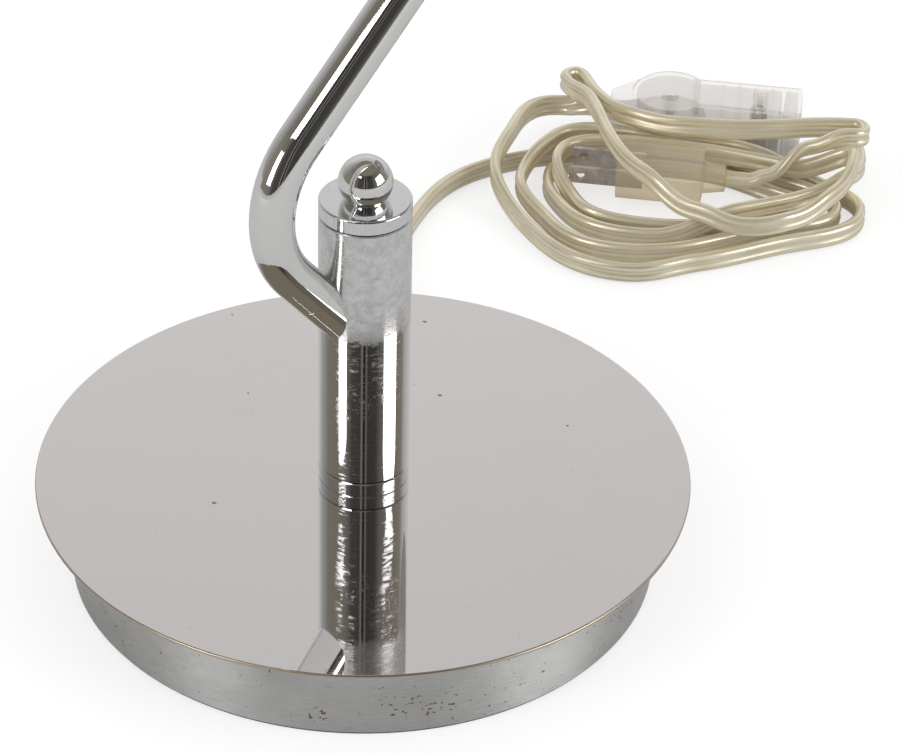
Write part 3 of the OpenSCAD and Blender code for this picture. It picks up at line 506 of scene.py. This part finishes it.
def shadeFinish():  # chrome outside, white enamel inside
    finish, start, shader = newFinish("shadeChrome")
    apart = start.node(
        "VectorMath", {"operation": "DISTANCE"}, {0: spot(start), 1: shade["centre"]}, "Value"
    )
    outside = apart > shade["wallMiddle"]
    peel, haze = noise(start, shade["peel"]), noise(start, shade["haze"])
    enamel = peel.ease(*shade["peelFrom"]).blend(shade["enamelDark"], shade["enamelPale"])
    feed(shader, "Base Color", outside.blend(enamel, shade["chrome"]))
    feed(shader, "Metallic", outside)
    rough = shade["roughness"]
    smooth = rough["enamel"] - outside * rough["chromeLess"]
    feed(shader, "Roughness", smooth + haze * rough["haze"])
    bump(start, shader, peel * (1 - outside), *shade["bump"])
    return finish


moulding = {
    # tint of what is behind, tint of the milk, least share of the milk
    "clearHousing": ((0.985, 0.975, 0.968), (0.96, 0.94, 0.925), 0.12),
    "milkyHousing": ((0.985, 0.975, 0.968), (0.97, 0.955, 0.94), 0.3),
    "amberPlug": ((0.92, 0.87, 0.76), (0.93, 0.87, 0.73), 0.24),
    "coat": 0.8,
    "coatRoughness": 0.04,
    "cloud": {"scale": 170.0, "rough": 0.55},
    "ripple": {"scale": 330.0, "detail": 2.0},
    "roughness": (0.06, 0.12),  # least, and what the cloud adds
    "ior": 1.4,
    "edgeShare": 0.4,
    "bump": (0.03, 0.0005),  # strength and depth
}


def clearFinish(name):  # clear plastic, a little milky, laid over what is behind it
    tint, milk, least = moulding[name]
    finish, start, shader = newFinish(
        name, Base_Color=(*milk, 1), Coat_Weight=moulding["coat"],
        Coat_Roughness=moulding["coatRoughness"],
    )
    smooth, more = moulding["roughness"]
    feed(shader, "Roughness", smooth + noise(start, moulding["cloud"]) * more)
    bump(start, shader, noise(start, moulding["ripple"]), *moulding["bump"])
    edge = start.node("Fresnel", {}, {"IOR": moulding["ior"]}) * moulding["edgeShare"]
    clear = start.node("BsdfTransparent", {}, {"Color": (*tint, 1)})
    mixSurface(start, (least + edge).clip(), clear, Sock(start.tree, shader.outputs[0]))
    return finish


# the flat twin flex, as laid out in the part: x, y, z in mm, heading and roll in degrees
flex = {
    "turn": -48.0,
    "origin": (76.0, 223.0),
    "perMetre": 1000,
    "handle": 0.39,
    "lobeRadius": 0.00188,
    "lobeAway": 0.00179,
    "grooveAngle": 138,
    "lobeStep": 23,  # degrees, a sixth of the groove's angle
    "steps": 16,
    "plasticPale": (0.92, 0.82, 0.57),
    "plasticDark": (0.74, 0.63, 0.37),
    "tin": (1.0, 0.96, 0.85),
    "tinShare": 0.8,
    "wires": 11,
    "twist": 0.2,  # metres along which they shift by one wire
    "tone": {"scale": 70.0, "detail": 2.0, "patch": (0.25, 0.75)},
    "metallic": 0.6,
    "coat": 1.0,
    "coatRoughness": 0.1,
    "roughness": (0.29, 0.07),  # least, and what the tone adds; below 0.28 the denoiser draws lines
    "lead": [
        (-76, -112, 9, 90, 0), (-88, -76, 4.2, 100, 60), (-91, -40, 3.8, 80, 90),
        (-66.6, 6.2, 3.7, 35, 90),
    ],
    "lampSide": [
        (-66.6, 6.2, 3.7, 35, 90), (-20.3, 19.5, 3.8, 0, 90), (39.9, 10.5, 3.8, 337, 90),
        (56, -4, 3.8, 270, 90), (37, -20, 3.8, 200, 90), (-8, -42, 3.8, 190, 90),
        (-42, -30, 3.8, 125, 90), (-56, -8, 7.5, 92, 90), (-47, 15, 11.7, 58, 90),
        (-11.3, 21, 11.9, 0, 90), (18, 20, 11.6, 350, 90), (49, 12.5, 3.7, 325, 90),
        (64.5, -4.2, 3.7, 272, 90), (46, -24.5, 3.8, 205, 90), (12, -44, 3.8, 205, 90),
        (-14, -55, 3.8, 180, 90), (-49, -34, 3.8, 127, 90), (-65.7, -4.3, 10.3, 95, 90),
        (-62.8, 15.8, 12.4, 80, 90), (-49, 41.5, 10, 8, 60), (-36, 40, 11, 0, 0),
        (-24, 40, 11, 0, 0),
    ],
    "plugSide": [
        (33, 40, 11, 0, 0), (45, 40, 11, 0, 0), (62.2, 24.9, 8.8, 278, 90),
        (55.3, 2.9, 11.8, 238, 90), (23.9, -21.1, 11.6, 208, 90), (-8.3, -31.8, 3.8, 183, 90),
        (-38.8, -19.5, 3.8, 125, 90), (-47, 1.9, 3.8, 88, 90), (-20, 14.4, 3.8, 3, 90),
        (6.2, 14.6, 3.8, 354, 90), (35, 3.7, 3.8, 337, 90), (47, -6, 3.7, 270, 90),
        (29, -15.9, 3.7, 200, 90), (-7.6, -24.9, 3.8, 180, 90), (-34.4, -18, 6, 120, 90),
        (-44.1, 3.3, 11.6, 85, 90), (-16, 16.1, 11.9, 0, 90), (38.5, 10.5, 11.5, 348, 90),
        (60.2, 6.8, 20, 272, 90), (55, -13, 17, 240, 90), (42, -27.5, 14, 214, 90),
        (27, -33, 13, 188, 90), (7.9, -29.9, 15.6, 165, 90), (-12, -18.1, 21.9, 138, 90),
        (-24, -2, 22.7, 116, 90), (-35.3, 27.8, 20.6, 116, 90), (-46.9, 43.6, 18.6, 121, 90),
        (-44.8, 48.6, 18.6, 28, 90), (-39.9, 45.8, 18.6, 298, 90), (-31.5, 31.4, 18.9, 310, 90),
        (-17, 20.5, 20, 338, 75), (10, 17.6, 20.8, 2, 65), (58.5, 24.7, 22, 4, 75),
        (63.1, 20.4, 22.4, 270, 90), (58.8, 16.1, 23.2, 186, 90), (44.2, 10.1, 21, 207, 60),
        (29.9, 2.3, 12.7, 201, 15), (24, 1, 10.8, 180, 0), (16, 1, 10.6, 180, 0),
    ],
}


def flexRoute(points):  # the same curve as the part's, in metres, and its roll in radians
    turn = Matrix.Rotation(math.radians(flex["turn"]), 3, "Z")
    shift = Vector((*flex["origin"], 0))
    way, rolls = [], []
    for a, b in zip(points, points[1:]):
        start, end = Vector((a[0], a[1], 0)), Vector((b[0], b[1], 0))
        reach = flex["handle"] * (end - start).length
        out = Vector((math.cos(math.radians(a[3])), math.sin(math.radians(a[3])), 0))
        into = Vector((math.cos(math.radians(b[3])), math.sin(math.radians(b[3])), 0))
        for i in range(flex["steps"]):
            t = i / flex["steps"]
            s, eased = 1 - t, (1 - math.cos(math.pi * t)) / 2
            p = (
                s ** 3 * start + 3 * s * s * t * (start + reach * out)
                + 3 * s * t * t * (end - reach * into) + t ** 3 * end
            )
            p.z = a[2] + (b[2] - a[2]) * eased
            way.append(p)
            rolls.append(math.radians(a[4] + (b[4] - a[4]) * eased))
    way.append(Vector(points[-1][:3]))
    rolls.append(math.radians(points[-1][4]))
    return [turn @ (p + shift) / flex["perMetre"] for p in way], rolls


def flexOutline():  # two lobes with a groove on each side
    r, away, groove = flex["lobeRadius"], flex["lobeAway"], flex["grooveAngle"]
    half = [
        (away + r * math.cos(math.radians(d)), r * math.sin(math.radians(d)))
        for d in range(-groove, groove + 1, flex["lobeStep"])
    ]
    return half + [(-x, -y) for x, y in half]


def sweep(way, rolls, outline):  # an outline carried along the way, and its UV points
    verts, faces, points = [], [], []
    count, far = len(outline), 0.0
    for i, (p, roll) in enumerate(zip(way, rolls)):
        ahead = (way[min(i + 1, len(way) - 1)] - way[max(i - 1, 0)]).normalized()
        side = Vector((-ahead.y, ahead.x, 0)).normalized()
        up = ahead.cross(side)
        wide = math.cos(roll) * side + math.sin(roll) * up
        thick = math.cos(roll) * up - math.sin(roll) * side
        verts += [p + x * wide + y * thick for x, y in outline]
    for i, (p, q) in enumerate(zip(way, way[1:])):
        on = far + (q - p).length
        for j in range(count):
            a, b = i * count + j, i * count + (j + 1) % count
            faces.append((a, b, b + count, a + count))
            near, past = j / count, (j + 1) / count
            points += [(far, near), (far, past), (on, past), (on, near)]
        far = on
    for ring in (range(count - 1, -1, -1), range(len(verts) - count, len(verts))):  # the ends
        faces.append(tuple(ring))
        points += [(0.0, 0.0)] * count
    return verts, faces, points


def makeFlex(name, way, rolls, finish):
    verts, faces, points = sweep(way, rolls, flexOutline())
    mesh = bpy.data.meshes.new(name)
    mesh.from_pydata([tuple(v) for v in verts], [], faces)
    mesh.materials.append(finish)
    along = mesh.uv_layers.new(name="along")  # metres along the flex, turns about it
    along.data.foreach_set("uv", [v for point in points for v in point])
    mesh.polygons.foreach_set("use_smooth", [len(f) == 4 for f in faces])  # all but the ends
    piece = bpy.data.objects.new(name, mesh)
    scene.collection.objects.link(piece)
    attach(piece, "base")
    return piece


def runLength(way):
    return sum((b - a).length for a, b in zip(way, way[1:]))


def sheathFinish():  # clear yellowed plastic, its tinned wires showing through all along
    finish, start, shader = newFinish(
        "clearSheath", Metallic=flex["metallic"], Coat_Weight=flex["coat"],
        Coat_Roughness=flex["coatRoughness"],
    )
    far, turn = split(start, start.node("UVMap", {"uv_map": "along"}), 2)
    tone = noise(start, flex["tone"])
    waves = start.math("SINE", (turn * flex["wires"] + far / flex["twist"]) * math.tau)
    wires = (waves * 0.5 + 0.5) * flex["tinShare"]
    plastic = tone.blend(flex["plasticPale"], flex["plasticDark"])
    feed(shader, "Base Color", wires.blend(plastic, flex["tin"]))
    least, more = flex["roughness"]
    feed(shader, "Roughness", least + tone * more)
    return finish


sheath = sheathFinish()
leadWay, leadRolls = flexRoute(flex["lead"])
coilWay, coilRolls = flexRoute(flex["lampSide"])
lampWay, lampRolls = leadWay[:-1] + coilWay, leadRolls[:-1] + coilRolls
plugWay, plugRolls = flexRoute(flex["plugSide"])
lampFlex = makeFlex("lampFlex", lampWay, lampRolls, sheath)
plugFlex = makeFlex("plugFlex", plugWay, plugRolls, sheath)
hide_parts("cord_lead", "lamp_coil")
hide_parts("plug_coil")
runLength(lampWay)
runLength(plugWay)
print("flex laid, %.3f m and %.3f m" % (runLength(lampWay), runLength(plugWay)))

finishes = {
    "polishedChrome": chromeFinish("polishedChrome"),
    "wornChrome": chromeFinish("wornChrome"),
    "sleeveChrome": sleeveFinish(),
    "plateChrome": plateFinish(),
    "brushedSkirt": skirtFinish(),
    "shadeChrome": shadeFinish(),
    "greenFelt": feltFinish(),
}
for name in grains:
    finishes[name] = grainFinish(name)
for name in ("clearHousing", "milkyHousing", "amberPlug"):
    finishes[name] = clearFinish(name)

finishOf = {  # every other node is polished chrome
    "top_plate": "plateChrome", "skirt": "brushedSkirt", "sleeve": "sleeveChrome",
    "foot_ring": "wornChrome", "cap": "wornChrome", "felt_pad": "greenFelt",
    "bottom_cover": "zincSteel", "cover_screws": "zincSteel", "ballast": "castIron",
    "base_washer": "zincSteel", "base_nut": "brass", "strain_relief": "clearHousing",
    "inner_lead": "innerLead", "post": "zincSteel", "stop_pin": "zincSteel",
    "lower_bush": "nylon", "upper_bush": "nylon", "arm_lead": "innerLead",
    "pivot_screw": "zincSteel", "holder_nut": "brass", "holder_body": "blackMoulding",
    "screw_shell": "brass", "centre_contact": "brass", "shade_ring": "blackMoulding",
    "shade": "shadeChrome", "bulb_cap": "bulbAlloy", "bulb_glass": "opalGlass",
    "switch_base": "milkyHousing", "switch_cover": "clearHousing", "switch_wheel": "clearHousing",
    "wheel_pin": "paleNylon", "switch_screws": "paleNylon", "switch_contacts": "paleBrass",
    "plug_body": "amberPlug", "plug_blades": "bladeNickel",
}
for name, node in nodes.items():
    finish = finishes[finishOf.get(name, "polishedChrome")]
    if node.material_slots:
        node.material_slots[0].material = finish
    else:
        node.data.materials.append(finish)
print("finishes set")

studio = {
    "towardCamera": (-0.6235, -0.7818),  # along the floor, a length of 1
    # softboxes: degrees to the right of the camera, distance, height of the middle, width and
    # height, degrees of tilt
    "left": {
        "azimuth": -54.5, "away": 2.0, "rise": 0.91, "size": (0.7, 1.08), "tilt": 0, "power": 8.4,
    },
    "right": {
        "azimuth": 68.0, "away": 2.0, "rise": 0.915, "size": (1.3, 1.21), "tilt": 0, "power": 16.0,
    },
    "upper": {
        "azimuth": -42.0, "away": 1.7, "rise": 1.86, "size": (1.05, 0.32), "tilt": 46, "power": 3.5,
    },
    "floorSize": 14,
    "floorDrop": 0.0002,  # under the felt
    "floorGlow": 0.66,
    "floorTint": 0.4,
    "floorMatte": 0.4,
    "floorMirrored": 0.25,  # share of the white that mirrors show, 1 for all of it
    "ambient": 0.8,
    # the room that mirrors see: degrees to the right of the camera, colour
    "round": [
        (-180, (0.64, 0.625, 0.62)), (-150, (0.61, 0.595, 0.59)), (-132, (0.4, 0.4, 0.4)),
        (-114, (0.29, 0.29, 0.285)), (-100, (0.22, 0.2, 0.165)), (-66, (0.2, 0.18, 0.15)),
        (-44, (0.16, 0.15, 0.14)), (-30, (0.06, 0.055, 0.05)), (-9, (0.05, 0.047, 0.045)),
        (-5, (0.24, 0.22, 0.2)), (-2, (0.015, 0.015, 0.015)), (2, (0.015, 0.015, 0.015)),
        (5, (0.17, 0.16, 0.15)), (9, (0.04, 0.04, 0.04)), (30, (0.05, 0.048, 0.045)),
        (44, (0.14, 0.13, 0.12)), (90, (0.2, 0.18, 0.15)), (108, (0.24, 0.22, 0.18)),
        (120, (0.45, 0.44, 0.44)), (145, (0.6, 0.59, 0.585)), (180, (0.64, 0.625, 0.62)),
    ],
    # sines of the height above the horizon, between which the room darkens and the ceiling begins
    "fadeFrom": (0.48, 0.68),
    "fadeLow": 1.09,
    "fadeDrop": 0.22,
    "overheadFrom": (0.77, 0.83),
    "overhead": (0.2, 0.18, 0.135),
}


def rays(start):
    kinds = ("Camera", "Glossy", "Transmission")
    return [start.node("LightPath", out="Is %s Ray" % kind) for kind in kinds]


def makeFloor():  # white where it is looked at, grey for the light it throws back
    bpy.ops.mesh.primitive_plane_add(
        size=studio["floorSize"], location=(0, 0, -studio["floorDrop"])
    )
    floor = bpy.context.object
    floor.name = "paleFloor"
    finish = bpy.data.materials.new("paleFloor")
    finish.use_nodes = True
    start = Sock(finish.node_tree)
    direct, glossy, through = rays(start)
    seen = (direct + through + glossy * studio["floorMirrored"]).clip()
    matte, pale = (
        start.node("BsdfDiffuse", {}, {"Color": (studio[grey],) * 3 + (1,)})
        for grey in ("floorMatte", "floorTint")
    )
    glow = start.node("Emission", {}, {"Color": (1, 1, 1, 1), "Strength": studio["floorGlow"]})
    bright = start.node("AddShader", {}, {0: pale, 1: glow})
    mixSurface(start, seen, matte, bright)
    floor.data.materials.append(finish)


def makeRoom():
    world = bpy.data.worlds.new("studioRoom")
    scene.world = world
    world.use_nodes = True
    tree = world.node_tree
    start = Sock(tree)
    x, y, z = split(start, start.node("TexCoord", out="Generated"))
    cx, cy = studio["towardCamera"]
    turn = start.math("ARCTAN2", y * cx - x * cy, x * cx + y * cy) / math.tau + 0.5
    stops = [(a / 360 + 0.5, tint) for a, tint in studio["round"]]
    around = start.node("ValToRGB", {"stops": stops}, {0: turn})
    fade = studio["fadeLow"] - z.ease(*studio["fadeFrom"]) * studio["fadeDrop"]
    faded = start.mix("MULTIPLY", 1.0, around, fade)
    mirrored = z.ease(*studio["overheadFrom"]).blend(faded, studio["overhead"])
    direct, glossy, through = rays(start)
    plain = (direct + through).clip().blend((studio["ambient"],) * 3, (1, 1, 1))
    sky = glossy.blend(plain, mirrored)
    tree.links.new(sky.plug, tree.nodes["Background"].inputs["Color"])


def makeSoftbox(name):
    box, (cx, cy) = studio[name], studio["towardCamera"]
    a, tilt = math.radians(box["azimuth"]), math.radians(box["tilt"])
    way = Vector((cx * math.cos(a) - cy * math.sin(a), cx * math.sin(a) + cy * math.cos(a), 0))
    middle = way * box["away"] + Vector((0, 0, box["rise"]))
    bpy.ops.object.light_add(type="AREA", location=middle)
    lamp = bpy.context.object
    lamp.name = name + "Softbox"
    lamp.rotation_mode = "QUATERNION"
    back = way * math.cos(tilt) + Vector((0, 0, math.sin(tilt)))
    lamp.rotation_quaternion = back.to_track_quat("Z", "Y")
    lamp.data.shape = "RECTANGLE"
    lamp.data.size, lamp.data.size_y = box["size"]
    lamp.data.energy = box["power"]


makeFloor()
makeRoom()
for name in ("left", "right", "upper"):
    makeSoftbox(name)
print("studio lit")
